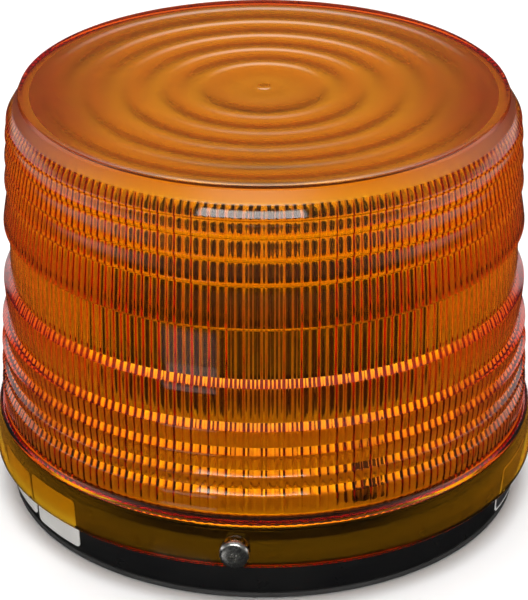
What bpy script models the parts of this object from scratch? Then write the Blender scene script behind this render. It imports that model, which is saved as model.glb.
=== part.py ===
"""Amber strobe warning light: a ribbed clear dome screwed to a round black base, with the flash
tube, its socket and the power supply inside.

Sizes are in millimetres, and MM turns them into Blender's metres. The origin is the middle of the
mounting face, +Z points up through the dome and the front is -Y. An azimuth is in degrees from +X
towards +Y. The dome lifts off along +Z, and each lens screw slides out along its own radius.
"""

import math

import bmesh
import bpy
from mathutils import Matrix, Vector

MM = 0.001
GAP = 0.3  # between pieces that touch
SEGMENTS = 48  # round the dome and the base
MIDDLING = 24  # round the pedestal, the socket and the board
FINE = 16  # round the small turned pieces
HOLE = 12  # round a drilled hole

# Lens: the outer size of the whole light
SKIRT_RADIUS = 85.75
SKIRT_BOTTOM = 13.7
RIM_RADIUS = 84.4
RIM_TOP = 27.8
LENS_TOP = 132.0
TOP_RADIUS = 74.4
LENS_WALL = 2.8
SKIRT_WALL = 2.2
LIGHT_CENTRE = 81.0
# The ridges outside, as (height, proud radius, depth). A ridge above the light centre overhangs: it
# slopes back in from its proud edge, over FLANK_RISE, down to the height given. One below the light
# centre is the other way up.
UPPER_RIDGES = ((121.6, 78.8, 0.8), (117.1, 79.1, 0.9), (110.1, 79.5, 1.0), (102.4, 79.85, 1.25),
                (88.7, 80.65, 1.75))
LOWER_RIDGES = ((73.2, 81.35, 2.35), (59.6, 82.3, 2.0), (51.8, 82.75, 1.55), (44.6, 83.0, 1.4),
                (38.4, 83.2, 1.4))
FLANK_RISE = 2.0
SHOULDER = ((TOP_RADIUS, LENS_TOP), (75.0, LENS_TOP - 0.6), (76.2, 128.0))
WAIST_RADIUS = 79.0
INNER_WALL = ((79.6, 26.2), (76.3, 74.0), (75.4, 126.5), (73.0, LENS_TOP - LENS_WALL))

# Base
BASE_RADIUS = 80.8
WALL_TOP_RADIUS = 81.9
WALL = 2.8
GASKET_TOP = 1.6
FLOOR_BOTTOM = GASKET_TOP + GAP
FLOOR_TOP = FLOOR_BOTTOM + 2.7
WALL_TOP = 24.6
GROMMET_HOLE = 7.5
MOUNTING_BOSS_TOP = FLOOR_TOP + 5.3
MOUNTING_BOSS_BORE = 3.7

# Fixings
LENS_SCREW_AZIMUTHS = (264.2, 24.2, 144.2)
LENS_SCREW_HEIGHT = 19.0
LENS_SCREW_SEAT = SKIRT_RADIUS + GAP - 0.05  # radius of the underside of the head
LENS_SCREW_LENGTH = 13.4
LENS_SCREW_SHANK = 2.4
LENS_SCREW_HEAD = 4.6
INSERT_RADIUS = 3.6
INSERT_LENGTH = 9.0
INSERT_START = 70.6  # radius of its inner end
FIXING_CIRCLE = 70.0
MOUNTING_AZIMUTHS = (54.2, 174.2, 294.2)
STANDOFF_AZIMUTHS = (84.2, 204.2, 324.2)
BOARD_FIXING_CIRCLE = 56.0
BOARD_AZIMUTHS = (45.0, 135.0, 225.0, 315.0)
PEDESTAL_SCREW_AZIMUTHS = (20.0, 200.0)
PEDESTAL_SCREW_HOLE = 1.5
BOARD_SCREW_HOLE = 1.6

# Inside
BOARD_RADIUS = 62.0
BOARD_BOTTOM = FLOOR_TOP + 3.9
BOARD_TOP = BOARD_BOTTOM + 1.6
ON_BOARD = BOARD_TOP + GAP
DECK_BOTTOM = 27.2
DECK_TOP = DECK_BOTTOM + 1.0
DECK_RADIUS = 78.3
DECK_BORE = 24.0
PEDESTAL_BOTTOM = DECK_TOP + GAP
PEDESTAL_TOP = 40.0
PEDESTAL_RADIUS = 29.0
PEDESTAL_SCREW_CIRCLE = 31.8
PEDESTAL_BORE = 26.4
PEDESTAL_MOUTH = 14.0
PEDESTAL_PLATE = 2.2
SOCKET_BOTTOM = PEDESTAL_TOP + GAP
SOCKET_TOP = 65.0
SOCKET_RADIUS = 27.5
TUBE_RADIUS = 3.2
TUBE_SPREAD = 8.0  # half the distance between the two legs of the flash tube
TUBE_BOTTOM = SOCKET_TOP + 1.1
PIN_BOTTOM = 54.0
TRIGGER_PIN_OFFSET = 7.0


# ---- materials


def material(name, colour, roughness, metallic=0.0, transmission=0.0):
    made = bpy.data.materials.new(name)
    made.use_nodes = True
    made.diffuse_color = (*colour, 1.0)
    shader = made.node_tree.nodes["Principled BSDF"]
    shader.inputs["Base Color"].default_value = (*colour, 1.0)
    shader.inputs["Roughness"].default_value = roughness
    shader.inputs["Metallic"].default_value = metallic
    shader.inputs["Transmission Weight"].default_value = transmission
    return made


# ---- shapes


def finished_mesh(name, shape, sharp_degrees=35.0):
    bmesh.ops.recalc_face_normals(shape, faces=shape.faces)
    mesh = bpy.data.meshes.new(name)
    shape.to_mesh(mesh)
    shape.free()
    mesh.shade_smooth()
    mesh.set_sharp_from_angle(angle=math.radians(sharp_degrees))
    return mesh


def turned(name, outline, segments=FINE):
    """A closed outline of (radius, height) points spun round Z; a point on the axis is one vertex."""
    shape = bmesh.new()
    rings = []
    for radius, height in outline:
        turns = range(segments) if radius > 0 else range(1)
        angles = [2 * math.pi * k / segments for k in turns]
        corners = [(radius * math.cos(a), radius * math.sin(a), height) for a in angles]
        rings.append([shape.verts.new(Vector(corner) * MM) for corner in corners])
    for ring, following in zip(rings, rings[1:] + rings[:1]):
        if len(ring) == 1 and len(following) == 1:
            continue
        for k in range(segments):
            loop = [ring[k % len(ring)], ring[(k + 1) % len(ring)]]
            loop += [following[(k + 1) % len(following)], following[k % len(following)]]
            shape.faces.new(dict.fromkeys(loop))
    return finished_mesh(name, shape)


def extruded(name, outline, bottom, top):
    """A flat outline of (x, y) points stretched along Z."""
    shape = bmesh.new()
    low = [shape.verts.new(Vector((x, y, bottom)) * MM) for x, y in outline]
    high = [shape.verts.new(Vector((x, y, top)) * MM) for x, y in outline]
    shape.faces.new(low)
    shape.faces.new(high)
    for k, corner in enumerate(low):
        following = (k + 1) % len(low)
        shape.faces.new((corner, low[following], high[following], high[k]))
    return finished_mesh(name, shape)


def rectangle(width, depth, x=0.0, y=0.0):
    half_width, half_depth = width / 2, depth / 2
    corners = ((-1, -1), (1, -1), (1, 1), (-1, 1))
    return [(x + sx * half_width, y + sy * half_depth) for sx, sy in corners]


def block(name, width, depth, bottom, top, x=0.0, y=0.0):
    return extruded(name, rectangle(width, depth, x, y), bottom, top)


def pillar(name, radius, bottom, top, segments=HOLE):
    return turned(name, [(0, bottom), (radius, bottom), (radius, top), (0, top)], segments)


def along_x(mesh):
    """Lays a shape that stands along Z down along +X."""
    mesh.transform(Matrix.Rotation(math.radians(90), 4, "Y"))
    return mesh


def along_y(mesh):
    """Lays a shape that stands along Z down along +Y."""
    mesh.transform(Matrix.Rotation(math.radians(-90), 4, "X"))
    return mesh


def smooth_route(points, spacing):
    """Points about this far apart on the smooth curve through the given ones."""
    knots = [Vector(point) for point in points]
    ends = [2 * knots[0] - knots[1], *knots, 2 * knots[-1] - knots[-2]]
    route = []
    for before, start, end, after in zip(ends, ends[1:], ends[2:], ends[3:]):
        steps = max(2, round((end - start).length / spacing))
        for k in range(steps):
            t = k / steps
            bend = 2 * before - 5 * start + 4 * end - after
            twist = 3 * start - before - 3 * end + after
            route.append(start + (end - before) * t / 2 + bend * t**2 / 2 + twist * t**3 / 2)
    return [*route, knots[-1]]


# ---- objects


def placed(name, mesh, look, at=(0.0, 0.0, 0.0), azimuth=0.0):
    obj = bpy.data.objects.new(name, mesh)
    if not mesh.materials:
        mesh.materials.append(look)
    obj.location = Vector(at) * MM
    obj.rotation_euler.z = math.radians(azimuth)
    bpy.context.scene.collection.objects.link(obj)
    return obj


def around(radius, azimuth, height=0.0):
    angle = math.radians(azimuth)
    return radius * math.cos(angle), radius * math.sin(angle), height


def wire(name, points, radius, look, sides_level=2):
    """A round wire along the points."""
    curve = bpy.data.curves.new(name, "CURVE")
    curve.dimensions = "3D"
    curve.bevel_depth = radius * MM
    curve.bevel_resolution = sides_level
    curve.use_fill_caps = True
    spline = curve.splines.new("POLY")
    spline.points.add(len(points) - 1)
    for knot, point in zip(spline.points, points):
        knot.co = (*(Vector(point) * MM), 1.0)
    curve.materials.append(look)
    obj = bpy.data.objects.new(name, curve)
    bpy.context.scene.collection.objects.link(obj)
    return obj


def combine(obj, operation, name, mesh, at=(0.0, 0.0, 0.0), azimuth=0.0):
    """Adds a hidden tool shape to the object, or cuts it out."""
    tool = placed(f"{obj.name}.{name}", mesh, None, at, azimuth)
    tool.hide_render = True
    tool.display_type = "WIRE"
    change = obj.modifiers.new(name, "BOOLEAN")
    change.operation = operation
    change.solver = "EXACT"
    change.object = tool


def drill(obj, name, radius, at, bottom, top):
    combine(obj, "DIFFERENCE", name, pillar(name, radius, bottom, top), at)


# ---- lens


def lens_outline():
    """The dome's wall in section, from the middle of the top down the outside and back up inside."""
    outline = [(0, LENS_TOP), *SHOULDER]
    for height, radius, depth in UPPER_RIDGES:
        outline += [(radius, height + FLANK_RISE), (radius - depth, height)]
    outline.append((WAIST_RADIUS, LIGHT_CENTRE))
    for height, radius, depth in LOWER_RIDGES:
        outline += [(radius - depth, height), (radius, height - FLANK_RISE)]
    outline += [(82.6, 30.8), (RIM_RADIUS - 0.7, RIM_TOP + 0.2), (RIM_RADIUS, RIM_TOP)]
    outline += [(RIM_RADIUS + 0.25, RIM_TOP - 1.0), (SKIRT_RADIUS, SKIRT_BOTTOM)]
    outline += [(SKIRT_RADIUS - SKIRT_WALL, SKIRT_BOTTOM), (SKIRT_RADIUS - 3.0, INNER_WALL[0][1])]
    return [*outline, *INNER_WALL, (0, LENS_TOP - LENS_WALL)]


def screw_slot_outline():
    """The opening for one lens screw: round on top and open through the skirt's lower edge."""
    half_width = LENS_SCREW_SHANK + GAP
    arc = [math.radians(angle) for angle in range(0, 181, 20)]
    outline = [(half_width * math.cos(a), half_width * math.sin(a)) for a in arc]
    below = SKIRT_BOTTOM - LENS_SCREW_HEIGHT - 2
    return [*outline, (-half_width, below), (half_width, below)]


def make_lens():
    amber = material("amber_polycarbonate", (0.85, 0.30, 0.02), 0.08, transmission=0.9)
    lens = placed("lens_dome", turned("lens_dome", lens_outline(), SEGMENTS), amber)
    for number, azimuth in enumerate(LENS_SCREW_AZIMUTHS, 1):
        # Stretched along Z, then stood up so that it cuts along the radius
        slot = extruded(f"slot_{number}", screw_slot_outline(), 80.6, SKIRT_RADIUS + 2)
        slot.transform(Matrix(((0, 0, 1), (1, 0, 0), (0, 1, 0))).to_4x4())
        combine(lens, "DIFFERENCE", f"slot_{number}", slot, (0, 0, LENS_SCREW_HEIGHT), azimuth)


def lens_screw_mesh():
    """A pan head with a cross recess on a plain shank. The head points along +X from the origin."""
    shank, head = LENS_SCREW_SHANK, LENS_SCREW_HEAD
    outline = [(0, -LENS_SCREW_LENGTH), (shank - 0.6, -LENS_SCREW_LENGTH)]
    outline += [(shank, 1.0 - LENS_SCREW_LENGTH), (shank, 0), (head, 0), (head, 1.0)]
    outline += [(head - 0.7, 1.9), (head - 2.2, 2.4), (0, 2.4)]
    return along_x(turned("lens_screw", outline))


def make_lens_screws():
    steel = material("zinc_plated_steel", (0.55, 0.55, 0.53), 0.35, metallic=1.0)
    brass = material("brass", (0.70, 0.52, 0.22), 0.35, metallic=1.0)
    for number, azimuth in enumerate(LENS_SCREW_AZIMUTHS, 1):
        seat = around(LENS_SCREW_SEAT, azimuth, LENS_SCREW_HEIGHT)
        screw = placed(f"lens_screw_{number}", lens_screw_mesh(), steel, seat, azimuth)
        for turn, (width, depth) in enumerate(((5.0, 1.1), (1.1, 5.0)), 1):
            recess = along_x(block(f"recess_{turn}", width, depth, 1.0, 4.0))
            combine(screw, "DIFFERENCE", f"recess_{turn}", recess, seat, azimuth)
        bore = LENS_SCREW_SHANK + GAP
        outline = [(bore, 0), (INSERT_RADIUS, 0), (INSERT_RADIUS, INSERT_LENGTH), (bore, INSERT_LENGTH)]
        at = around(INSERT_START, azimuth, LENS_SCREW_HEIGHT)
        placed(f"threaded_insert_{number}", along_x(turned("insert", outline)), brass, at, azimuth)


def make_lens_gasket():
    foam = material("gasket_rubber", (0.03, 0.03, 0.03), 0.9)
    bottom, top = WALL_TOP + GAP, WALL_TOP + 4 * GAP
    outline = [(79.3, bottom), (81.6, bottom), (81.6, top), (79.3, top)]
    placed("lens_gasket", turned("lens_gasket", outline, SEGMENTS), foam)


# ---- base


def base_outline():
    inner = WALL_TOP_RADIUS - WALL
    outline = [(GROMMET_HOLE, FLOOR_BOTTOM), (BASE_RADIUS - 0.5, FLOOR_BOTTOM)]
    outline += [(BASE_RADIUS, FLOOR_BOTTOM + 0.6), (WALL_TOP_RADIUS, WALL_TOP), (inner, WALL_TOP)]
    return [*outline, (inner - 0.7, FLOOR_TOP), (GROMMET_HOLE, FLOOR_TOP)]


def make_base():
    black = material("black_abs", (0.012, 0.012, 0.011), 0.45)
    base = placed("base_housing", turned("base_housing", base_outline(), SEGMENTS), black)
    root = FLOOR_TOP - 1.0  # bosses start inside the floor
    for number, azimuth in enumerate(LENS_SCREW_AZIMUTHS, 1):
        name = f"screw_boss_{number}"
        boss = block(name, 10.3, 12.0, LENS_SCREW_HEIGHT - 6, WALL_TOP - 0.6, 75.0)
        combine(base, "UNION", name, boss, azimuth=azimuth)
    for number, azimuth in enumerate(MOUNTING_AZIMUTHS, 1):
        name = f"mounting_boss_{number}"
        boss = pillar(name, 6.5, root, MOUNTING_BOSS_TOP)
        combine(base, "UNION", name, boss, around(FIXING_CIRCLE, azimuth))
    for number, azimuth in enumerate(BOARD_AZIMUTHS, 1):
        name = f"board_boss_{number}"
        boss = pillar(name, 3.6, root, BOARD_BOTTOM - GAP)
        combine(base, "UNION", name, boss, around(BOARD_FIXING_CIRCLE, azimuth))
    for number, azimuth in enumerate(LENS_SCREW_AZIMUTHS, 1):
        bore = along_x(pillar(f"screw_bore_{number}", INSERT_RADIUS + GAP, 66.0, 90.0))
        at = (0, 0, LENS_SCREW_HEIGHT)
        combine(base, "DIFFERENCE", f"screw_bore_{number}", bore, at, azimuth)
    for number, azimuth in enumerate(MOUNTING_AZIMUTHS, 1):
        at = around(FIXING_CIRCLE, azimuth)
        drill(base, f"mounting_hole_{number}", MOUNTING_BOSS_BORE, at, 0, 20)
    for number, azimuth in enumerate(BOARD_AZIMUTHS, 1):
        at = around(BOARD_FIXING_CIRCLE, azimuth)
        drill(base, f"board_hole_{number}", BOARD_SCREW_HOLE, at, FLOOR_TOP - 0.6, 20)


def make_mounting_gasket():
    rubber = material("mounting_rubber", (0.05, 0.05, 0.05), 0.85)
    outline = [(60.0, 0), (BASE_RADIUS - 0.2, 0), (BASE_RADIUS - 0.2, GASKET_TOP), (60.0, GASKET_TOP)]
    gasket = placed("mounting_gasket", turned("mounting_gasket", outline, SEGMENTS), rubber)
    for number, azimuth in enumerate(MOUNTING_AZIMUTHS, 1):
        drill(gasket, f"gasket_hole_{number}", 3.2, around(FIXING_CIRCLE, azimuth), -2, 4)


def make_mounting_sleeves():
    steel = material("sleeve_steel", (0.55, 0.55, 0.53), 0.4, metallic=1.0)
    flange = MOUNTING_BOSS_TOP + GAP
    outline = [(2.7, GASKET_TOP + 0.4), (3.4, GASKET_TOP + 0.4), (3.4, flange), (5.8, flange)]
    outline += [(5.8, flange + 1.0), (2.7, flange + 1.0)]
    for number, azimuth in enumerate(MOUNTING_AZIMUTHS, 1):
        mesh = turned("mounting_sleeve", outline)
        placed(f"mounting_sleeve_{number}", mesh, steel, around(FIXING_CIRCLE, azimuth))


def make_grommet():
    rubber = material("grommet_rubber", (0.02, 0.02, 0.02), 0.8)
    lip, neck, hole = GROMMET_HOLE + 1.9, GROMMET_HOLE - GAP, 4.0
    outline = [(hole, 0.3), (lip, 0.3), (lip, GASKET_TOP), (neck, GASKET_TOP)]
    outline += [(neck, FLOOR_TOP + GAP), (lip, FLOOR_TOP + GAP)]
    outline += [(lip, FLOOR_TOP + 1.8), (hole, FLOOR_TOP + 1.8)]
    placed("wire_grommet", turned("wire_grommet", outline), rubber)


def base_radius_at(height):
    rise = (height - FLOOR_BOTTOM) / (WALL_TOP - FLOOR_BOTTOM)
    return BASE_RADIUS + (WALL_TOP_RADIUS - BASE_RADIUS) * rise


def label_mesh(name, start, end, bottom, top):
    """A thin blank sticker bent round the base between two azimuths."""
    steps = 5
    shape = bmesh.new()
    sections = []
    for k in range(steps + 1):
        azimuth = start + (end - start) * k / steps
        corners = [(base_radius_at(z) + lift, z) for z, lift in
                   ((bottom, GAP), (bottom, GAP + 0.25), (top, GAP + 0.25), (top, GAP))]
        section = [Vector(around(radius, azimuth, z)) * MM for radius, z in corners]
        sections.append([shape.verts.new(corner) for corner in section])
    shape.faces.new(sections[0])
    shape.faces.new(sections[-1])
    for section, following in zip(sections, sections[1:]):
        for k in range(4):
            j = (k + 1) % 4
            shape.faces.new((section[k], section[j], following[j], following[k]))
    return finished_mesh(name, shape)


def make_labels():
    silver = material("label_silver", (0.62, 0.62, 0.60), 0.4)
    dark = material("label_dark", (0.05, 0.05, 0.05), 0.35)
    placed("rating_label", label_mesh("rating_label", 211.2, 226.4, 4.0, 21.4), silver)
    placed("date_label", label_mesh("date_label", 196.0, 210.2, 5.0, 20.6), silver)
    placed("hazard_label", label_mesh("hazard_label", 332.4, 348.0, 3.6, 20.0), dark)


# ---- lamp


def make_deck():
    bright = material("polished_aluminium", (0.80, 0.80, 0.80), 0.25, metallic=1.0)
    outline = [(DECK_BORE, DECK_BOTTOM), (DECK_RADIUS, DECK_BOTTOM)]
    outline += [(DECK_RADIUS, DECK_TOP), (DECK_BORE, DECK_TOP)]
    deck = placed("reflector_deck", turned("reflector_deck", outline, SEGMENTS), bright)
    for number, azimuth in enumerate(MOUNTING_AZIMUTHS, 1):
        drill(deck, f"access_hole_{number}", 4.8, around(FIXING_CIRCLE, azimuth), 20, 35)
    for number, azimuth in enumerate(STANDOFF_AZIMUTHS, 1):
        drill(deck, f"deck_hole_{number}", 1.7, around(FIXING_CIRCLE, azimuth), 20, 35)
    for number, azimuth in enumerate(PEDESTAL_SCREW_AZIMUTHS, 1):
        at = around(PEDESTAL_SCREW_CIRCLE, azimuth)
        drill(deck, f"pedestal_hole_{number}", PEDESTAL_SCREW_HOLE, at, 20, 35)


def small_screw_mesh(head, shank, length, height):
    """A pan-head screw that stands on its head's underside, at the origin."""
    outline = [(0, -length), (shank, -length), (shank, 0), (head, 0), (head, 0.6 * height)]
    return turned("small_screw", [*outline, (0.6 * head, height), (0, height)], HOLE)


def make_deck_fixings():
    steel = material("small_screw_steel", (0.50, 0.50, 0.48), 0.4, metallic=1.0)
    alloy = material("standoff_alloy", (0.65, 0.65, 0.62), 0.45, metallic=1.0)
    low, high = FLOOR_TOP + GAP, DECK_BOTTOM - GAP
    hexagon = [(1.7, low), (3.5, low), (3.5, high), (1.7, high)]
    for number, azimuth in enumerate(STANDOFF_AZIMUTHS, 1):
        at = around(FIXING_CIRCLE, azimuth)
        placed(f"deck_standoff_{number}", turned("deck_standoff", hexagon, 6), alloy, at)
        screw = small_screw_mesh(3.0, 1.25, 8.0, 2.0)
        placed(f"deck_screw_{number}", screw, steel, around(FIXING_CIRCLE, azimuth, DECK_TOP + GAP))
    for number, azimuth in enumerate(BOARD_AZIMUTHS, 1):
        at = around(BOARD_FIXING_CIRCLE, azimuth, ON_BOARD)
        placed(f"board_screw_{number}", small_screw_mesh(2.8, 1.2, 5.0, 1.8), steel, at)
    for number, azimuth in enumerate(PEDESTAL_SCREW_AZIMUTHS, 1):
        at = around(PEDESTAL_SCREW_CIRCLE, azimuth, PEDESTAL_BOTTOM + 2.0 + GAP)
        placed(f"pedestal_screw_{number}", small_screw_mesh(2.0, 1.1, 6.0, 1.5), steel, at)


def make_pedestal():
    white = material("pedestal_plastic", (0.75, 0.75, 0.73), 0.45)
    low, flange = PEDESTAL_BOTTOM, PEDESTAL_BOTTOM + 2.0
    plate = PEDESTAL_TOP - PEDESTAL_PLATE
    outline = [(PEDESTAL_BORE, low), (34.6, low), (34.6, flange), (PEDESTAL_RADIUS, flange)]
    outline += [(PEDESTAL_RADIUS - 0.6, PEDESTAL_TOP - 0.8), (PEDESTAL_RADIUS - 1.4, PEDESTAL_TOP)]
    outline += [(PEDESTAL_MOUTH, PEDESTAL_TOP), (PEDESTAL_MOUTH, plate), (PEDESTAL_BORE, plate)]
    pedestal = placed("lamp_pedestal", turned("lamp_pedestal", outline, MIDDLING), white)
    for number, azimuth in enumerate(PEDESTAL_SCREW_AZIMUTHS, 1):
        at = around(PEDESTAL_SCREW_CIRCLE, azimuth)
        drill(pedestal, f"flange_hole_{number}", PEDESTAL_SCREW_HOLE, at, 20, 35)


def make_socket():
    phenolic = material("black_phenolic", (0.025, 0.018, 0.016), 0.5)
    low, top, radius = SOCKET_BOTTOM, SOCKET_TOP, SOCKET_RADIUS
    outline = [(radius - 3.0, low), (radius - 0.5, low), (radius, low + 0.8), (radius - 0.4, top - 4.0)]
    outline += [(radius - 2.4, top - 2.0), (13.0, top - 2.0), (12.6, top), (0, top)]
    outline += [(0, top - 7.0), (radius - 3.4, top - 7.0)]
    half_step = 180 / MIDDLING
    mesh = turned("tube_socket", outline, MIDDLING)
    socket = placed("tube_socket", mesh, phenolic, azimuth=half_step)
    for name, at, radius in (
        ("anode_hole", (TUBE_SPREAD, 0, 0), 1.5),
        ("cathode_hole", (-TUBE_SPREAD, 0, 0), 1.5),
        ("trigger_hole", (0, TRIGGER_PIN_OFFSET, 0), 1.3),
    ):
        drill(socket, name, radius, at, top - 9, top + 2)


def make_flash_tube():
    """A U of glass on two electrode pins, with the trigger wire wound round its left leg."""
    glass = material("tube_glass", (0.90, 0.92, 0.92), 0.05, transmission=0.95)
    metal = material("nickel", (0.60, 0.58, 0.52), 0.3, metallic=1.0)
    bend_height = LIGHT_CENTRE + 3.0
    arc = [math.pi * k / 12 for k in range(13)]
    points = [(TUBE_SPREAD, 0, TUBE_BOTTOM)]
    points += [(TUBE_SPREAD * math.cos(a), 0, bend_height + TUBE_SPREAD * math.sin(a)) for a in arc]
    points.append((-TUBE_SPREAD, 0, TUBE_BOTTOM))
    wire("flash_tube", points, TUBE_RADIUS, glass, 4)

    for name, x in (("anode_pin", TUBE_SPREAD), ("cathode_pin", -TUBE_SPREAD)):
        pin = pillar(name, 1.2, PIN_BOTTOM, TUBE_BOTTOM - GAP)
        placed(name, pin, metal, (x, 0, 0))
    placed("trigger_pin", pillar("trigger_pin", 1.0, PIN_BOTTOM, SOCKET_TOP + 3.6), metal,
           (0, TRIGGER_PIN_OFFSET, 0))

    turns, wire_radius, steps = 4, 0.3, 8
    coil_radius = TUBE_RADIUS + GAP + wire_radius
    start = Vector((-TUBE_SPREAD, 0, SOCKET_TOP + 2.6))
    coil = []
    for k in range(turns * steps + 1):
        angle = math.pi / 2 + 2 * math.pi * k / steps
        rise = 2.8 * k / steps
        coil.append(start + Vector((coil_radius * math.cos(angle), coil_radius * math.sin(angle), rise)))
    tail_end = Vector((-1.0 - GAP, TRIGGER_PIN_OFFSET, start.z))
    wire("trigger_wire", [tail_end, (tail_end + coil[0]) / 2 + Vector((0, 0.6, 0)), *coil],
         wire_radius, metal, 1)


def make_tube_leads():
    """Insulated leads from the board up through the pedestal to the socket's pins."""
    ends = {
        "anode_lead": ((14, 8), (TUBE_SPREAD, 0), (0.45, 0.03, 0.02)),
        "cathode_lead": ((-13, 8), (-TUBE_SPREAD, 0), (0.02, 0.02, 0.02)),
        "trigger_lead": ((18, 23), (0, TRIGGER_PIN_OFFSET), (0.75, 0.75, 0.72)),
    }
    for name, ((x, y), (pin_x, pin_y), colour) in ends.items():
        insulation = material(f"{name}_insulation", colour, 0.6)
        route = [(x, y, ON_BOARD), (x, y, ON_BOARD + 5), (0.7 * x + 0.3 * pin_x, 0.6 * y, 28)]
        route += [(pin_x, pin_y, PEDESTAL_TOP), (pin_x, pin_y, PIN_BOTTOM - GAP)]
        wire(name, smooth_route(route, 3.0), 0.8, insulation, 2)


# ---- power supply


def make_board():
    laminate = material("board_laminate", (0.02, 0.10, 0.04), 0.5)
    hole = 8.0
    outline = [(hole, BOARD_BOTTOM), (BOARD_RADIUS, BOARD_BOTTOM)]
    outline += [(BOARD_RADIUS, BOARD_TOP), (hole, BOARD_TOP)]
    board = placed("circuit_board", turned("circuit_board", outline, MIDDLING), laminate)
    for number, azimuth in enumerate(BOARD_AZIMUTHS, 1):
        at = around(BOARD_FIXING_CIRCLE, azimuth)
        drill(board, f"screw_hole_{number}", BOARD_SCREW_HOLE, at, 5, 15)


def make_transformer():
    ferrite = material("ferrite", (0.05, 0.045, 0.045), 0.7)
    copper = material("copper_winding", (0.55, 0.20, 0.08), 0.35, metallic=0.8)
    at, top = (-32.0, 0.0, 0.0), ON_BOARD + 15.5
    core = placed("transformer_core", block("transformer_core", 24, 15, ON_BOARD, top), ferrite, at)
    window = [(4.0, ON_BOARD + 3), (9.6, ON_BOARD + 3), (9.6, top - 3), (4.0, top - 3)]
    combine(core, "DIFFERENCE", "winding_window", turned("winding_window", window), at)
    low, high = ON_BOARD + 3 + GAP, top - 3 - GAP
    outline = [(4.3, low), (9.3, low), (9.3, low + 0.8), (8.6, low + 0.8)]
    outline += [(8.6, high - 0.8), (9.3, high - 0.8), (9.3, high), (4.3, high)]
    placed("transformer_winding", turned("transformer_winding", outline), copper, at)


def capacitor_outline(radius, length):
    """A can with a rolled groove near its lead end, standing on the origin."""
    outline = [(0, 0), (radius, 0), (radius, 1.6), (radius - 0.6, 2.2), (radius, 2.8)]
    return [*outline, (radius, length - 0.6), (radius - 0.6, length), (0, length)]


def make_capacitors():
    black = material("capacitor_sleeve", (0.02, 0.02, 0.06), 0.3)
    brown = material("film_capacitor_case", (0.45, 0.08, 0.03), 0.35)
    radius, length = 8.0, 34.0
    can = along_x(turned("storage_capacitor", capacitor_outline(radius, length)))
    placed("storage_capacitor", can, black, (-length / 2, 38.0, ON_BOARD + radius))
    can = turned("input_capacitor", capacitor_outline(6.0, 15.0))
    placed("input_capacitor", can, black, (-24.0, -30.0, ON_BOARD))
    case = block("trigger_capacitor", 14.0, 6.0, ON_BOARD, ON_BOARD + 11)
    placed("trigger_capacitor", case, brown, (42.0, 8.0, 0))


def make_trigger_coil():
    potting = material("coil_potting", (0.06, 0.03, 0.02), 0.4)
    outline = [(0, 0), (6.4, 0), (6.4, 1.2), (5.6, 1.2), (5.6, 12.8), (6.4, 12.8), (6.4, 14.0), (0, 14.0)]
    placed("trigger_coil", turned("trigger_coil", outline), potting, (26.0, 16.0, ON_BOARD))


def make_switch():
    """The switching transistor, standing against its finned heat sink."""
    alloy = material("heat_sink_alloy", (0.25, 0.25, 0.26), 0.4, metallic=1.0)
    case = material("transistor_case", (0.02, 0.02, 0.02), 0.5)
    fins, width, back = 7, 28.0, 3.0
    fin_pitch = width / (fins - 0.5)
    outline = [(-width / 2, back), (-width / 2, -5.0)]
    for k in range(fins):
        left = -width / 2 + k * fin_pitch
        outline += [(left, -5.0), (left + fin_pitch / 2, -5.0)] if k else [(left + fin_pitch / 2, -5.0)]
        if k < fins - 1:
            outline += [(left + fin_pitch / 2, 0.0), (left + fin_pitch, 0.0)]
    outline.append((width / 2, back))
    sink = extruded("heat_sink", outline, ON_BOARD, ON_BOARD + 15)
    placed("heat_sink", sink, alloy, (20.0, -41.0, 0))
    body = block("switching_transistor", 10.2, 4.4, ON_BOARD + 4, ON_BOARD + 14)
    front = -41.0 + back + GAP + 2.2
    transistor = placed("switching_transistor", body, case, (20.0, front, 0))
    for number, x in enumerate((-2.54, 0.0, 2.54), 1):
        leg = block(f"leg_{number}", 0.9, 0.6, ON_BOARD, ON_BOARD + 5, x)
        combine(transistor, "UNION", f"leg_{number}", leg, (20.0, front, 0))


def axial_outline(radius, length, lead, total):
    """An axial component with its body in the middle of its leads."""
    half, end = length / 2, total / 2
    outline = [(0, -end), (lead, -end), (lead, -half), (radius, -half), (radius, half)]
    return [*outline, (lead, half), (lead, end), (0, end)]


def make_small_components():
    dark = material("diode_epoxy", (0.03, 0.03, 0.03), 0.45)
    tan = material("resistor_body", (0.55, 0.42, 0.25), 0.6)
    diode = along_x(turned("rectifier_diode", axial_outline(1.6, 6.0, 0.4, 12.0), HOLE))
    placed("rectifier_diode", diode, dark, (3.0, 22.0, ON_BOARD + 1.6))
    for number, y in enumerate((-37.0, -44.0), 1):
        resistor = along_x(turned("resistor", axial_outline(1.9, 8.0, 0.4, 13.0), HOLE))
        placed(f"power_resistor_{number}", resistor, tan, (-6.0, y, ON_BOARD + 1.9))
    chip = placed("timing_chip", block("timing_chip", 9.4, 6.4, ON_BOARD + 0.6, ON_BOARD + 4), dark,
                  (0, -23.0, 0))
    for number, x in enumerate((-3.81, -1.27, 1.27, 3.81), 1):
        leg = block(f"pin_pair_{number}", 0.6, 7.8, ON_BOARD, ON_BOARD + 2.2, x)
        combine(chip, "UNION", f"pin_pair_{number}", leg, (0, -23.0, 0))


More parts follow.
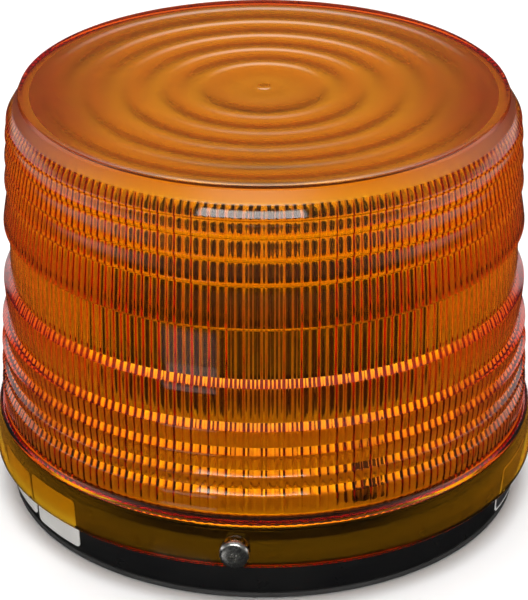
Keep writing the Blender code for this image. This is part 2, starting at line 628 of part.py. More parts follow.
def make_fuse():
    glass = material("fuse_body", (0.70, 0.70, 0.68), 0.3)
    tin = material("tinned_brass", (0.62, 0.60, 0.55), 0.35, metallic=1.0)
    x, y, axis_height, seat_radius = 46.0, -14.0, ON_BOARD + 5.0, 2.6
    outline = [(0, -10), (seat_radius, -10), (seat_radius, -5), (2.3, -5)]
    outline += [(2.3, 5), (seat_radius, 5), (seat_radius, 10), (0, 10)]
    placed("fuse", along_y(turned("fuse", outline)), glass, (x, y, axis_height))
    for number, offset in enumerate((-7.6, 7.6), 1):
        clip_at = (x, y + offset, 0)
        body = block("clip", 8.0, 4.4, ON_BOARD, axis_height + 1.6)
        clip = placed(f"fuse_clip_{number}", body, tin, clip_at)
        seat = along_y(pillar("fuse_seat", seat_radius + GAP, -4, 4))
        combine(clip, "DIFFERENCE", "fuse_seat", seat, (x, y + offset, axis_height))
        mouth = block("fuse_mouth", 4.6, 6.0, axis_height, axis_height + 5)
        combine(clip, "DIFFERENCE", "fuse_mouth", mouth, clip_at)


def make_terminal_block():
    green = material("terminal_plastic", (0.03, 0.20, 0.08), 0.45)
    at = (-18.0, 20.0, 0.0)
    body = block("terminal_block", 16.0, 9.0, ON_BOARD, ON_BOARD + 11)
    terminal = placed("terminal_block", body, green, at)
    for number, x in enumerate((-4.0, 4.0), 1):
        entry = block(f"wire_entry_{number}", 4.0, 8.0, ON_BOARD + 1.5, ON_BOARD + 6, x, -4.0)
        combine(terminal, "DIFFERENCE", f"wire_entry_{number}", entry, at)
        drill(terminal, f"screw_well_{number}", 2.0, (at[0] + x, at[1] + 1.0, 0), ON_BOARD + 7, 40)


def main():
    for obj in list(bpy.data.objects):
        bpy.data.objects.remove(obj, do_unlink=True)
    make_lens()
    make_lens_screws()
    make_lens_gasket()
    make_base()
    make_mounting_gasket()
    make_mounting_sleeves()
    make_grommet()
    make_labels()
    make_deck()
    make_deck_fixings()
    make_pedestal()
    make_socket()
    make_flash_tube()
    make_tube_leads()
    make_board()
    make_transformer()
    make_capacitors()
    make_trigger_coil()
    make_switch()
    make_small_components()
    make_fuse()
    make_terminal_block()


main()
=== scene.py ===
"""Amber strobe warning light: the detailed visual model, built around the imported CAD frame.

Lengths in the outlines are in millimetres, and MM turns them into metres. An outline is a list of
(radius, height) points, and an azimuth is in degrees from +X towards +Y. The front is -Y.
"""

import math

import bmesh
import bpy
from mathutils import Matrix, Vector


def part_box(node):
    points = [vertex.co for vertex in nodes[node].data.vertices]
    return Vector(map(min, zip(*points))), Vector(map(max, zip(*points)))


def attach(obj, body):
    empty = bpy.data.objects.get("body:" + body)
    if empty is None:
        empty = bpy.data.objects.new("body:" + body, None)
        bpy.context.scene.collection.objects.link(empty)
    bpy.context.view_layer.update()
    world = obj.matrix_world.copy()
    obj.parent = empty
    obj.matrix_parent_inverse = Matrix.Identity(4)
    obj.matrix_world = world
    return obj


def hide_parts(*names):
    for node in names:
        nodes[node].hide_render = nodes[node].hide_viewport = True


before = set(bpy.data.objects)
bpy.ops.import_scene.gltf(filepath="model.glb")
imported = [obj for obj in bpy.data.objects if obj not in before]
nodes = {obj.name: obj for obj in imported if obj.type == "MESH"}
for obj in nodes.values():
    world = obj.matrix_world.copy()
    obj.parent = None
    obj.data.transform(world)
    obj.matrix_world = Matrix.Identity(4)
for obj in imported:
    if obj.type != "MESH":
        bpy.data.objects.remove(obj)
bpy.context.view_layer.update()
scene = bpy.context.scene

MM = 0.001


def span(node):
    """Lowest and highest corner of a CAD node, in millimetres."""
    low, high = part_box(node)
    return low / MM, high / MM


DOME_LOW, DOME_HIGH = span("lens_dome")
BASE_LOW, BASE_HIGH = span("base_housing")
GASKET_HIGH = span("mounting_gasket")[1]
SEAL_LOW, SEAL_HIGH = span("lens_gasket")
DECK_LOW, DECK_HIGH = span("reflector_deck")
PEDESTAL_LOW, PEDESTAL_HIGH = span("lamp_pedestal")
SOCKET_LOW, SOCKET_HIGH = span("tube_socket")
TUBE_LOW, TUBE_HIGH = span("flash_tube")
GROMMET_LOW, GROMMET_HIGH = span("wire_grommet")

ROUND = 288  # steps round the dome's outside and the base
FLUTES = 96  # inside the dome's wall
FLUTE_STEPS = 16  # steps round one flute
SMOOTH = 96  # steps round the pieces inside
SMALL = 32  # steps round screws, pins and glass
SHARP = 35.0  # degrees at an edge, above which it is drawn sharp

SKIRT_RADIUS = DOME_HIGH.x
SKIRT_BOTTOM = DOME_LOW.z
TOP = DOME_HIGH.z
RIM_TOP = 27.8
RIM_RADIUS = SKIRT_RADIUS - 1.35
TOP_RADIUS = SKIRT_RADIUS - 11.35
TOP_WALL = 2.2  # thickness of the flat top
SKIRT_WALL = 2.2
# Ridges outside, as (height of the recess, inset of the proud edge from the skirt, depth, rise of the
# flank). The upper ones overhang, and the lower ones are the other way up.
UPPER_RIDGES = ((122.5, 7.15, 0.7, 1.0), (117.1, 6.65, 0.9, 2.0), (110.1, 6.25, 1.0, 2.0),
                (102.4, 5.9, 1.25, 2.0), (88.7, 5.1, 1.75, 2.0))
LOWER_RIDGES = ((73.2, 4.4, 2.35, 2.0), (59.6, 3.45, 2.0, 2.0), (51.8, 3.0, 1.55, 2.0),
                (44.6, 2.75, 1.4, 2.0), (38.4, 2.55, 1.4, 2.0))
WAIST = (6.75, 81.0)  # inset and height of the narrowest part
# The inner wall, as (inset from the skirt, height) from the foot up. Only its middle part is fluted.
WALL_FOOT = ((6.25, 26.6), (6.3, 29.2))
FLUTED_WALL = ((6.5, 31.2), (9.45, 74.0), (10.2, 124.0))
WALL_END = (10.9, 126.6)
CEILING_EDGE = (12.9, 128.4)  # from here in, the flat top's underside
CEILING_RINGS = 71.0  # radius at which the rings on the flat top's underside end
FIRST_RING = 15.6  # radius of the first ring's crest on the flat top
RING_PITCH = 12.1
RING_DEPTH = 0.38
CEILING_ROUGHNESS = 0.3  # the underside of the flat top is matt
FLUTE_HEIGHT = 0.30
FLUTE_ALTERNATION = 0.12  # how much the main crest of a flute stands above its lesser one

SCREW_AZIMUTHS = (264.2, 24.2, 144.2)
SCREW_HEIGHT = 19.0
SCREW_SEAT = SKIRT_RADIUS + 0.25
MOUNTING_AZIMUTHS = (54.2, 174.2, 294.2)
STANDOFF_AZIMUTHS = (84.2, 204.2, 324.2)
BOARD_AZIMUTHS = (45.0, 135.0, 225.0, 315.0)
FIXING_CIRCLE = 70.0
BOARD_CIRCLE = 56.0
PEDESTAL_SCREWS = (31.8, (20.0, 200.0))  # circle radius and azimuths
TUBE_RADIUS = 3.2
TUBE_SPREAD = TUBE_HIGH.x - TUBE_RADIUS  # half the distance between the flash tube's legs
TRIGGER_PIN_RADIUS = 1.0
TRIGGER_OFFSET = span("trigger_pin")[1].y - TRIGGER_PIN_RADIUS  # of its axis, towards the back

# Radii of the holes
INSERT_BORE = 3.9  # in the base, for a lens screw's insert
SLEEVE_HOLE = 3.7
BOARD_SCREW_HOLE = 1.6
FIXING_HOLE = 3.2  # in the gasket under the base
DRIVER_HOLE = 4.8  # in the deck, to reach a fixing screw
DECK_SCREW_HOLE = 2.2
PEDESTAL_SCREW_HOLES = (1.8, 1.5)  # in the deck and in the pedestal's flange
TUBE_PIN_HOLE = 1.5
TRIGGER_PIN_HOLE = 1.3


# ---- shapes


def around(radius, azimuth, height=0.0):
    angle = math.radians(azimuth)
    return Vector((radius * math.cos(angle), radius * math.sin(angle), height))


def ring(shape, radius, height, steps, wave=None):
    """One level ring of vertices in millimetres; radius 0 is one vertex. wave(k) adds to the radius."""
    if radius == 0:
        return [shape.verts.new((0, 0, height * MM))]
    made = []
    for k in range(steps):
        angle = 2 * math.pi * k / steps
        reach = (radius + (wave(k) if wave else 0.0)) * MM
        made.append(shape.verts.new((reach * math.cos(angle), reach * math.sin(angle), height * MM)))
    return made


def bridge(shape, first, second):
    """Faces between two rings. One ring may have a whole multiple of the other's vertices."""
    few, many = sorted((first, second), key=len)
    share = len(many) // len(few)
    for k, corner in enumerate(few):
        following = few[(k + 1) % len(few)]
        fan = [many[(k * share + j) % len(many)] for j in range(share + 1)]
        if share == 1:
            shape.faces.new((corner, following, fan[1], fan[0]))
            continue
        for start, end in zip(fan, fan[1:]):
            if start is not end:
                shape.faces.new((corner, start, end))
        if following is not corner:
            shape.faces.new((corner, fan[-1], following))


def mesh_of(name, shape, sharp=SHARP):
    bmesh.ops.recalc_face_normals(shape, faces=shape.faces)
    mesh = bpy.data.meshes.new(name)
    shape.to_mesh(mesh)
    shape.free()
    mesh.shade_smooth()
    mesh.set_sharp_from_angle(angle=math.radians(sharp))
    return mesh


def turned(name, outline, steps=SMALL):
    """A closed outline spun round Z."""
    shape = bmesh.new()
    rings = [ring(shape, radius, height, steps) for radius, height in outline]
    for first, second in zip(rings, rings[1:] + rings[:1]):
        if len(first) > 1 or len(second) > 1:
            bridge(shape, first, second)
    return mesh_of(name, shape)


def extruded(name, outline, bottom, top):
    """A flat outline of (x, y) points stretched along Z."""
    shape = bmesh.new()
    low = [shape.verts.new(Vector((x, y, bottom)) * MM) for x, y in outline]
    high = [shape.verts.new(Vector((x, y, top)) * MM) for x, y in outline]
    shape.faces.new(low)
    shape.faces.new(high)
    for k, corner in enumerate(low):
        following = (k + 1) % len(low)
        shape.faces.new((corner, low[following], high[following], high[k]))
    return mesh_of(name, shape)


def block(name, width, depth, bottom, top, x):
    """A box whose middle is at this x."""
    corners = ((-1, -1), (1, -1), (1, 1), (-1, 1))
    outline = [(x + sx * width / 2, sy * depth / 2) for sx, sy in corners]
    return extruded(name, outline, bottom, top)


def pillar(name, radius, bottom, top, steps=SMALL):
    return turned(name, [(0, bottom), (radius, bottom), (radius, top), (0, top)], steps)


def along_x(mesh):
    """Lays a shape that stands along Z down along +X."""
    mesh.transform(Matrix.Rotation(math.radians(90), 4, "Y"))
    return mesh


def rounded(outline, radius, steps=4):
    """The outline with its corners rounded: each corner becomes an arc of this radius."""
    made = []
    count = len(outline)
    for k, (r, z) in enumerate(outline):
        corner = Vector((r, z))
        before = Vector(outline[k - 1]) - corner
        after = Vector(outline[(k + 1) % count]) - corner
        if r == 0 or min(before.length, after.length) < 1e-6:
            made.append((r, z))
            continue
        reach = min(radius, before.length * 0.45, after.length * 0.45)
        start, end = corner + before.normalized() * reach, corner + after.normalized() * reach
        for j in range(steps + 1):
            t = j / steps
            point = start * (1 - t) ** 2 + corner * 2 * t * (1 - t) + end * t**2
            made.append((point.x, point.y))
    return made


def piece(name, mesh, look, body, stands_for, at=(0.0, 0.0, 0.0), azimuth=0.0):
    """A finished piece, riding on its body and standing for its CAD nodes."""
    mesh.materials.clear()
    mesh.materials.append(look)
    obj = bpy.data.objects.new(name, mesh)
    obj.location = Vector(at) * MM
    obj.rotation_euler.z = math.radians(azimuth)
    scene.collection.objects.link(obj)
    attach(obj, body)
    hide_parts(*stands_for)
    return obj


def combined(mesh, tools, operation):
    """The mesh with the tool meshes, given as (mesh, place, azimuth), added to it or cut out of it."""
    target = bpy.data.objects.new("target", mesh)
    scene.collection.objects.link(target)
    helpers = []
    for tool, at, azimuth in tools:
        helper = bpy.data.objects.new("tool", tool)
        helper.location = Vector(at) * MM
        helper.rotation_euler.z = math.radians(azimuth)
        scene.collection.objects.link(helper)
        helpers.append(helper)
        change = target.modifiers.new("tool", "BOOLEAN")
        change.operation = operation
        change.solver = "EXACT"
        change.object = helper
    bpy.context.view_layer.update()
    finished = target.evaluated_get(bpy.context.evaluated_depsgraph_get())
    result = bpy.data.meshes.new_from_object(finished)
    for helper in [target, *helpers]:
        bpy.data.objects.remove(helper)
    result.shade_smooth()
    result.set_sharp_from_angle(angle=math.radians(SHARP))
    return result


# ---- shader nodes


def calculate(tree, kind, first, second):
    """The result of a math node. Each term is a number or another node's output."""
    made = tree.nodes.new("ShaderNodeMath")
    made.operation = kind
    for k, term in enumerate((first, second)):
        if isinstance(term, (int, float)):
            made.inputs[k].default_value = term
        else:
            tree.links.new(term, made.inputs[k])
    return made.outputs["Value"]


def soft_edge(tree, value, edge, soft, rising=True):
    """A smooth step from 0 to 1, or back down, that reaches this far to either side of the edge."""
    made = tree.nodes.new("ShaderNodeMapRange")
    made.interpolation_type = "SMOOTHSTEP"
    ends = (0.0, 1.0) if rising else (1.0, 0.0)
    names = ("From Min", "From Max", "To Min", "To Max")
    for name, number in zip(names, (edge - soft, edge + soft, *ends)):
        made.inputs[name].default_value = number
    tree.links.new(value, made.inputs["Value"])
    return made.outputs["Result"]


# ---- materials


class Look:
    """A material being built: its Principled shader and short ways to add nodes."""

    def __init__(self, name, colour, roughness, metallic=0.0):
        self.material = bpy.data.materials.new(name)
        self.material.use_nodes = True
        self.tree = self.material.node_tree
        self.shader = self.tree.nodes["Principled BSDF"]
        self.set("Base Color", (*colour, 1.0))
        self.set("Roughness", roughness)
        self.set("Metallic", metallic)
        self.place = self.node("ShaderNodeTexCoord").outputs["Object"]
        self.height = None

    def node(self, kind, **values):
        made = self.tree.nodes.new(kind)
        for name, value in values.items():
            made.inputs[name].default_value = value
        return made

    def link(self, output, target):
        self.tree.links.new(output, target)

    def set(self, name, value):
        self.shader.inputs[name].default_value = value

    def noise(self, scale, detail=3.0, stretch=(1.0, 1.0, 1.0)):
        """Noise of about this many spots a metre, stretched along the axes."""
        mapping = self.node("ShaderNodeMapping", Scale=stretch)
        self.link(self.place, mapping.inputs["Vector"])
        noise = self.node("ShaderNodeTexNoise", Scale=scale, Detail=detail)
        self.link(mapping.outputs["Vector"], noise.inputs["Vector"])
        return noise.outputs["Fac"]

    def between(self, factor, low, high):
        """Maps the middle of a noise to a range of numbers."""
        made = self.node("ShaderNodeMapRange")
        values = {"From Min": 0.3, "From Max": 0.7, "To Min": low, "To Max": high}
        for name, value in values.items():
            made.inputs[name].default_value = value
        self.link(factor, made.inputs["Value"])
        return made.outputs["Result"]

    def vary_roughness(self, factor, low, high):
        self.link(self.between(factor, low, high), self.shader.inputs["Roughness"])

    def vary_colour(self, factor, first, second):
        ramp = self.tree.nodes.new("ShaderNodeValToRGB")
        ramp.color_ramp.elements[0].position = 0.3
        ramp.color_ramp.elements[1].position = 0.7
        ramp.color_ramp.elements[0].color = (*first, 1.0)
        ramp.color_ramp.elements[1].color = (*second, 1.0)
        self.link(factor, ramp.inputs["Fac"])
        self.link(ramp.outputs["Color"], self.shader.inputs["Base Color"])

    def bump(self, factor, distance, strength=1.0):
        """Raises the surface by the factor times this distance, in millimetres."""
        made = self.node("ShaderNodeBump", Strength=strength, Distance=distance * MM)
        self.link(factor, made.inputs["Height"])
        if self.height:
            self.link(self.height, made.inputs["Normal"])
        self.height = made.outputs["Normal"]
        self.link(self.height, self.shader.inputs["Normal"])


def amber_plastic():
    """Amber polycarbonate: polished, but matt on the underside of the flat top."""
    look = Look("amber_polycarbonate", (1.0, 0.97, 0.92), 0.03)
    look.set("Transmission Weight", 1.0)
    look.set("IOR", 1.585)
    polished = look.between(look.noise(90, 4), 0.015, 0.05)
    height = look.node("ShaderNodeSeparateXYZ")
    look.link(look.place, height.inputs["Vector"])
    underside = TOP - TOP_WALL
    above = soft_edge(look.tree, height.outputs["Z"], (underside - 2.8) * MM, 0.4 * MM)
    below = soft_edge(look.tree, height.outputs["Z"], (underside + 1.2) * MM, 0.3 * MM, False)
    inside = calculate(look.tree, "MULTIPLY", above, below)
    matt = calculate(look.tree, "MULTIPLY", inside, CEILING_ROUGHNESS)
    look.link(calculate(look.tree, "ADD", polished, matt), look.shader.inputs["Roughness"])
    look.bump(look.noise(160, 2), 0.02)
    absorption = look.node("ShaderNodeVolumeAbsorption", Color=(0.985, 0.86, 0.0, 1.0), Density=1450.0)
    output = look.tree.nodes["Material Output"]
    look.link(absorption.outputs["Volume"], output.inputs["Volume"])
    return look.material


def clear_glass():
    look = Look("tube_quartz", (1.0, 1.0, 1.0), 0.01)
    look.set("Transmission Weight", 1.0)
    look.set("IOR", 1.46)
    look.vary_roughness(look.noise(300, 2), 0.0, 0.03)
    return look.material


def moulded(name, dark, light, roughness, grain=0.03, gloss=0.5):
    """Moulded plastic: a fine spark-eroded grain, slow colour change and rubbed patches."""
    look = Look(name, dark, roughness)
    look.set("Specular IOR Level", gloss)
    look.vary_colour(look.noise(45, 5), dark, light)
    look.vary_roughness(look.noise(120, 4), roughness - 0.07, roughness + 0.08)
    look.bump(look.noise(3200, 2), grain)
    return look.material


def rubber(name, dark, light):
    look = Look(name, dark, 0.8)
    look.vary_colour(look.noise(70, 6), dark, light)
    look.vary_roughness(look.noise(260, 3), 0.68, 0.9)
    look.bump(look.noise(1800, 3), 0.06)
    return look.material


def metal(name, first, second, roughness, stretch=(1.0, 1.0, 1.0), grain=0.01):
    """Metal with fine marks drawn out along the axes with the small stretch."""
    look = Look(name, first, roughness, 1.0)
    look.vary_colour(look.noise(200, 5), first, second)
    look.vary_roughness(look.noise(900, 4, stretch), roughness - 0.08, roughness + 0.1)
    look.bump(look.noise(1500, 3, stretch), grain)
    return look.material


def paper(name, first, second, roughness):
    look = Look(name, first, roughness)
    look.vary_colour(look.noise(60, 4), first, second)
    look.vary_roughness(look.noise(400, 3), roughness - 0.06, roughness + 0.08)
    look.bump(look.noise(2500, 2), 0.01)
    return look.material


def deck_finish():
    look = Look("deck_aluminium", (0.86, 0.86, 0.84), 0.3, 0.75)
    look.vary_colour(look.noise(80, 4), (0.82, 0.82, 0.80), (0.92, 0.92, 0.90))
    look.vary_roughness(look.noise(700, 3), 0.28, 0.42)
    look.bump(look.noise(1100, 2), 0.01)
    return look.material


# ---- dome


def skirt_inset(inset):
    return SKIRT_RADIUS - inset


def band_face(start, end, bulge, steps=5):
    """Points of a gently convex face between two (radius, height) points, without its two ends."""
    made = []
    for k in range(1, steps):
        t = k / steps
        radius = start[0] + (end[0] - start[0]) * t + bulge * math.sin(math.pi * t)
        made.append((radius, start[1] + (end[1] - start[1]) * t))
    return made


def ring_drop(radius):
    """Depth of the flat top's rings at a radius: a short fall outwards and a gentler rise."""
    turn = ((radius - FIRST_RING) / RING_PITCH) % 1.0
    fall = 0.45
    part = turn / fall if turn < fall else (1.0 - turn) / (1.0 - fall)
    return RING_DEPTH * (0.5 - 0.5 * math.cos(math.pi * part))


def top_outline():
    """The flat top with its shallow rings, from the gate mark in the middle to the edge."""
    outline = [(0, TOP - 0.62), (1.3, TOP - 0.6), (2.1, TOP - 0.4), (2.8, TOP - 0.36)]
    outline += [(5.0, TOP - 0.34), (6.5, TOP - 0.42), (10.0, TOP - 0.36), (13.0, TOP - 0.14)]
    steps = 12
    for k in range(round((TOP_RADIUS - 2.0 - FIRST_RING) / RING_PITCH * steps)):
        radius = FIRST_RING + RING_PITCH * k / steps
        outline.append((radius, TOP - 0.06 - ring_drop(radius)))
    return [*outline, (TOP_RADIUS - 0.9, TOP - 0.12), (TOP_RADIUS - 0.3, TOP - 0.02)]


def wall_outline():
    """The ribbed wall outside, from the shoulder down to the rim."""
    outline = [(TOP_RADIUS, TOP - 0.08), (skirt_inset(9.6), TOP - 4.3)]
    outline += [(skirt_inset(9.45), TOP - 4.7), (skirt_inset(9.15), TOP - 5.1)]
    for height, inset, depth, rise in UPPER_RIDGES:
        proud, recess = (skirt_inset(inset), height + rise), (skirt_inset(inset) - depth, height)
        outline += band_face(outline[-1], proud, 0.12)
        outline += [(proud[0] - 0.05, proud[1] + 0.25), (proud[0] - 0.02, proud[1] - 0.2)]
        outline += band_face(proud, recess, 0.14, 3) + [(recess[0], recess[1] + 0.1)]
        outline.append((recess[0] + 0.02, recess[1] - 0.2))
    waist = (skirt_inset(WAIST[0]), WAIST[1])
    outline += [*band_face(outline[-1], waist, 0.05, 3), waist]
    for height, inset, depth, rise in LOWER_RIDGES:
        recess, proud = (skirt_inset(inset) - depth, height), (skirt_inset(inset), height - rise)
        outline += band_face(outline[-1], recess, 0.1) + [(recess[0], recess[1] + 0.1)]
        outline += band_face(recess, proud, 0.14, 3)
        outline += [(proud[0] - 0.04, proud[1] + 0.25), (proud[0], proud[1] - 0.3)]
    foot = skirt_inset(3.2)
    outline += band_face(outline[-1], (foot, 30.8), 0.1, 3)
    return [*outline, (foot, 30.6), (skirt_inset(2.7), 28.9), (RIM_RADIUS - 0.9, RIM_TOP + 0.1)]


def skirt_outline():
    """The rim and the smooth skirt, down the outside and up the inside to the step under the wall."""
    outline = [(RIM_RADIUS - 0.3, RIM_TOP), (RIM_RADIUS, RIM_TOP - 0.2)]
    outline += [(RIM_RADIUS + 0.2, RIM_TOP - 0.8), (RIM_RADIUS + 0.35, RIM_TOP - 1.9)]
    outline += [(SKIRT_RADIUS - 0.03, SKIRT_BOTTOM + 0.5), (SKIRT_RADIUS - 0.35, SKIRT_BOTTOM + 0.05)]
    inner = SKIRT_RADIUS - SKIRT_WALL
    outline += [(inner + 0.3, SKIRT_BOTTOM), (inner, SKIRT_BOTTOM + 0.3)]
    return [*outline, (skirt_inset(3.0), 25.6), (skirt_inset(3.3), 26.2), (skirt_inset(5.6), 26.3)]


def flute(k):
    """Radius to add at one step: each flute has a main crest and a lesser one."""
    turn = 2 * math.pi * k / FLUTE_STEPS
    return FLUTE_HEIGHT * math.cos(2 * turn) + FLUTE_ALTERNATION * math.cos(turn)


def join_unlike(shape, first, second):
    """Triangles between two rings with any two numbers of vertices."""
    i = j = 0
    while i < len(first) or j < len(second):
        a, b = first[i % len(first)], second[j % len(second)]
        if (i + 1) * len(second) <= (j + 1) * len(first):
            i += 1
            shape.faces.new((a, b, first[i % len(first)]))
        else:
            j += 1
            shape.faces.new((a, b, second[j % len(second)]))


def inner_wall(shape):
    """Rings of vertices up the inner wall, from its foot to the smooth corner at the top."""
    steps = FLUTES * FLUTE_STEPS
    rings = [ring(shape, skirt_inset(inset), height, steps) for inset, height in WALL_FOOT]
    rings += [ring(shape, skirt_inset(inset), height, steps, flute) for inset, height in FLUTED_WALL]
    inset, height = WALL_END
    return [*rings, ring(shape, skirt_inset(inset), height, steps)]


def ceiling(shape):
    """Rings of vertices across the flat top's underside, from its edge to the middle."""
    inset, height = CEILING_EDGE
    rings = [ring(shape, skirt_inset(inset), height, ROUND)]
    underside = TOP - TOP_WALL
    steps = 10
    for k in range(round((CEILING_RINGS - FIRST_RING) / RING_PITCH * steps), 0, -1):
        radius = FIRST_RING + RING_PITCH * k / steps
        rings.append(ring(shape, radius, underside - 0.15 + 0.7 * ring_drop(radius), ROUND))
    return [*rings, ring(shape, 0, underside, ROUND)]


def dome_mesh():
    shape = bmesh.new()
    outline = top_outline() + wall_outline() + skirt_outline()
    outside = [ring(shape, radius, height, ROUND) for radius, height in outline]
    wall, top = inner_wall(shape), ceiling(shape)
    for rings in (outside, wall, top):
        for first, second in zip(rings, rings[1:]):
            bridge(shape, first, second)
    join_unlike(shape, outside[-1], wall[0])
    join_unlike(shape, wall[-1], top[0])
    return mesh_of("ribbed_dome", shape, sharp=28.0)


def slot_tool():
    """The opening for one screw: round on top, open through the skirt's lower edge."""
    half_width, inner_end = 2.7, 80.9
    turns = [math.radians(degrees) for degrees in range(0, 181, 15)]
    outline = [(half_width * math.cos(turn), half_width * math.sin(turn)) for turn in turns]
    outline += [(-half_width, -8), (half_width, -8)]
    tool = extruded("slot", outline, inner_end, SKIRT_RADIUS + 2)
    tool.transform(Matrix(((0, 0, 1), (1, 0, 0), (0, 1, 0))).to_4x4())
    return tool


def make_dome(look):
    tools = [(slot_tool(), (0, 0, SCREW_HEIGHT), a) for a in SCREW_AZIMUTHS]
    mesh = combined(dome_mesh(), tools, "DIFFERENCE")
    piece("ribbed_dome", mesh, look, "lens", ["lens_dome"])


# ---- screws


def cross_tool(width, length, depth, top):
    """The two arms of a tapered cross, for a cross recess."""
    arms = []
    for span_x, span_y in ((length, width), (width, length)):
        shape = bmesh.new()
        for z, grow in ((top + 1.0, 1.0), (top - depth, 0.55)):
            for sx, sy in ((-1, -1), (1, -1), (1, 1), (-1, 1)):
                shape.verts.new(Vector((sx * span_x / 2 * grow, sy * span_y / 2 * grow, z)) * MM)
        verts = list(shape.verts)
        shape.faces.new(verts[:4])
        shape.faces.new(verts[4:])
        for k in range(4):
            j = (k + 1) % 4
            shape.faces.new((verts[k], verts[j], verts[4 + j], verts[4 + k]))
        arms.append(mesh_of("arm", shape))
    return arms


def screw_mesh(head, thick, shank, length, turn):
    """A pan head screw that points down Z, with its head's underside at the origin."""
    outline = [(0, -length), (shank * 0.6, -length), (shank, -length + 1.2), (shank, -0.15), (shank, 0)]
    outline += [(head - 0.1, 0), (head, 0.15), (head, thick * 0.35)]
    for k in range(1, 6):
        angle = math.radians(90 * k / 6)
        rise = thick * 0.35 + thick * 0.65 * math.sin(angle)
        outline.append((head - head * 0.32 * (1 - math.cos(angle)), rise))
    outline += [(head * 0.45, thick), (0, thick)]
    mesh = turned("screw", outline, 48)
    off_the_cross = math.radians(3.7)
    mesh.transform(Matrix.Rotation(off_the_cross, 4, "Z"))
    cross = cross_tool(width=head * 0.27, length=head * 1.12, depth=thick * 0.55, top=thick)
    return combined(mesh, [(arm, (0, 0, 0), turn) for arm in cross], "DIFFERENCE")


def make_lens_screws(look):
    for number, azimuth in enumerate(SCREW_AZIMUTHS, 1):
        mesh = along_x(screw_mesh(head=4.6, thick=2.15, shank=2.4, length=13.4, turn=20.0))
        name = f"lens_screw_{number}"
        at = around(SCREW_SEAT, azimuth, SCREW_HEIGHT)
        piece(f"pan_screw_{number}", mesh, look, f"screw_{number}", [name], at, azimuth)


# ---- base


def base_radius_at(height):
    """Outer radius of the base's wall, which leans out slightly upwards."""
    rise = (height - BASE_LOW.z) / (BASE_HIGH.z - BASE_LOW.z)
    return BASE_HIGH.x - 1.1 * (1 - rise)


def make_base(look):
    """The base: a shallow tray with bosses for the lens screws, the fixing sleeves and the board."""
    bottom, top, outer, wire_hole = BASE_LOW.z, BASE_HIGH.z, BASE_HIGH.x, 7.5
    outline = [(wire_hole, bottom), (outer - 1.9, bottom), (outer - 1.4, bottom + 0.15)]
    outline += [(outer - 1.1, bottom + 0.7), (outer, top - 0.5), (outer - 0.3, top), (outer - 2.5, top)]
    floor = bottom + 2.7
    outline += [(outer - 2.8, top - 0.4), (outer - 3.5, floor + 0.7), (outer - 4.3, floor)]
    outline.append((wire_hole, floor))
    root = floor - 1.0  # the bosses start inside the floor
    bosses = [(block("boss", 10.3, 12.0, bottom=13.0, top=top - 0.6, x=75.0), (0, 0, 0), a)
              for a in SCREW_AZIMUTHS]
    bosses += [(pillar("boss", 6.5, root, 9.9), around(FIXING_CIRCLE, a), 0) for a in MOUNTING_AZIMUTHS]
    bosses += [(pillar("boss", 3.6, root, 8.2), around(BOARD_CIRCLE, a), 0) for a in BOARD_AZIMUTHS]
    mesh = combined(turned("base", outline, ROUND), bosses, "UNION")
    holes = [(along_x(pillar("bore", INSERT_BORE, 66.0, 90.0)), (0, 0, SCREW_HEIGHT), a)
             for a in SCREW_AZIMUTHS]
    holes += [(pillar("hole", SLEEVE_HOLE, 0, 20), around(FIXING_CIRCLE, a), 0)
              for a in MOUNTING_AZIMUTHS]
    holes += [(pillar("hole", BOARD_SCREW_HOLE, 4.0, 20), around(BOARD_CIRCLE, a), 0)
              for a in BOARD_AZIMUTHS]
    mesh = combined(mesh, holes, "DIFFERENCE")
    piece("black_base", mesh, look, "root", ["base_housing"])


def make_gaskets(look):
    """The flat gasket under the base, and the ring between the base and the dome's skirt."""
    inner, outer, top = 60.0, GASKET_HIGH.x, GASKET_HIGH.z
    outline = rounded([(inner, 0), (outer, 0), (outer, top), (inner, top)], 0.35, 3)
    holes = [(pillar("hole", FIXING_HOLE, -2, 4), around(FIXING_CIRCLE, a), 0) for a in MOUNTING_AZIMUTHS]
    mesh = combined(turned("gasket", outline, ROUND), holes, "DIFFERENCE")
    piece("foot_gasket", mesh, look, "root", ["mounting_gasket"])
    outer, inner = SEAL_HIGH.x, SEAL_HIGH.x - 2.3
    outline = [(inner, SEAL_LOW.z), (outer, SEAL_LOW.z), (outer, SEAL_HIGH.z), (inner, SEAL_HIGH.z)]
    mesh = turned("seal", rounded(outline, 0.3, 3), ROUND)
    piece("dome_seal", mesh, look, "root", ["lens_gasket"])


